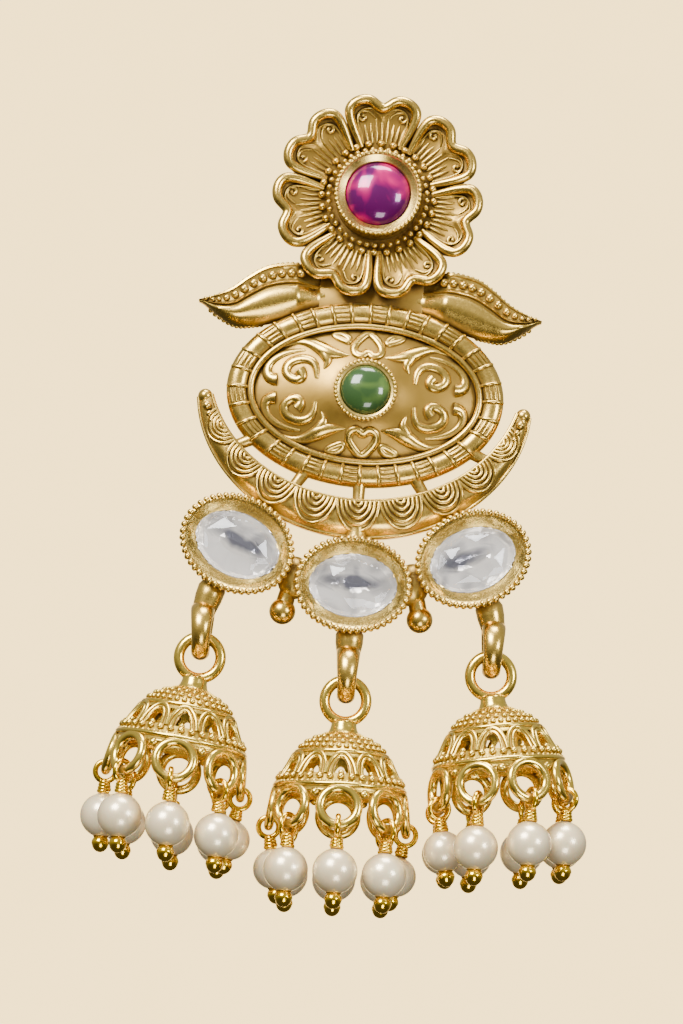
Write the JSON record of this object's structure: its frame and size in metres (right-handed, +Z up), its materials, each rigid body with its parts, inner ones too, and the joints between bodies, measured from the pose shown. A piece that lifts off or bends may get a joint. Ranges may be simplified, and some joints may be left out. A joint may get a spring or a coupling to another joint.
{
  "type": "jhumka drop earring",
  "caption": "Drop earring with a flower stud, leaves, an oval plaque in a crescent, stone settings and swinging pierced bells fringed with pearls.",
  "frame": {"origin": "middle of the flower's flat back, where the ear post leaves it", "axes": "X to the viewer's right, -Y to the front with the post along +Y, Z up; the earring hangs down from the flower"},
  "size_m": [0.0396, 0.0196, 0.0658],
  "materials": {
    "antique_gold": "satin gold plating with darker recesses",
    "bright_gold": "polished gold plating",
    "post_metal": "polished",
    "magenta_glass": "polished, foil-backed",
    "green_glass": "polished",
    "clear_glass": "cut and polished, foil-backed",
    "pearl": "soft pearly sheen; the pin through it is gold-coloured"
  },
  "bodies": {
    "head": {"soldered_head": "antique_gold", "ear_post": "post_metal", "magenta_cabochon": "magenta_glass", "green_cabochon": "green_glass", "clear_stone_left": "clear_glass", "clear_stone_middle": "clear_glass", "clear_stone_right": "clear_glass"},
    "hanging_bell_left": {"bell_left": "bright_gold", "pearl_drop_left_1": "pearl", "pearl_drop_left_2": "pearl", "pearl_drop_left_3": "pearl", "pearl_drop_left_4": "pearl", "pearl_drop_left_5": "pearl", "pearl_drop_left_6": "pearl", "pearl_drop_left_7": "pearl", "pearl_drop_left_8": "pearl"},
    "hanging_bell_middle": {"bell_middle": "bright_gold", "pearl_drop_middle_1": "pearl", "pearl_drop_middle_2": "pearl", "pearl_drop_middle_3": "pearl", "pearl_drop_middle_4": "pearl", "pearl_drop_middle_5": "pearl", "pearl_drop_middle_6": "pearl", "pearl_drop_middle_7": "pearl", "pearl_drop_middle_8": "pearl"},
    "hanging_bell_right": {"bell_right": "bright_gold", "pearl_drop_right_1": "pearl", "pearl_drop_right_2": "pearl", "pearl_drop_right_3": "pearl", "pearl_drop_right_4": "pearl", "pearl_drop_right_5": "pearl", "pearl_drop_right_6": "pearl", "pearl_drop_right_7": "pearl", "pearl_drop_right_8": "pearl"}
  },
  "joints": [
    {"name": "bell_left_swing", "type": "hinge", "parent": "head", "child": "hanging_bell_left", "pos_m": [-0.01172, -0.0012, -0.03645], "axis": [1, 0, 0], "range_deg": [-60, 60]},
    {"name": "bell_middle_swing", "type": "hinge", "parent": "head", "child": "hanging_bell_middle", "pos_m": [0, -0.0012, -0.03915], "axis": [1, 0, 0], "range_deg": [-60, 60]},
    {"name": "bell_right_swing", "type": "hinge", "parent": "head", "child": "hanging_bell_right", "pos_m": [0.01135, -0.0012, -0.03645], "axis": [1, 0, 0], "range_deg": [-60, 60]}
  ]
}
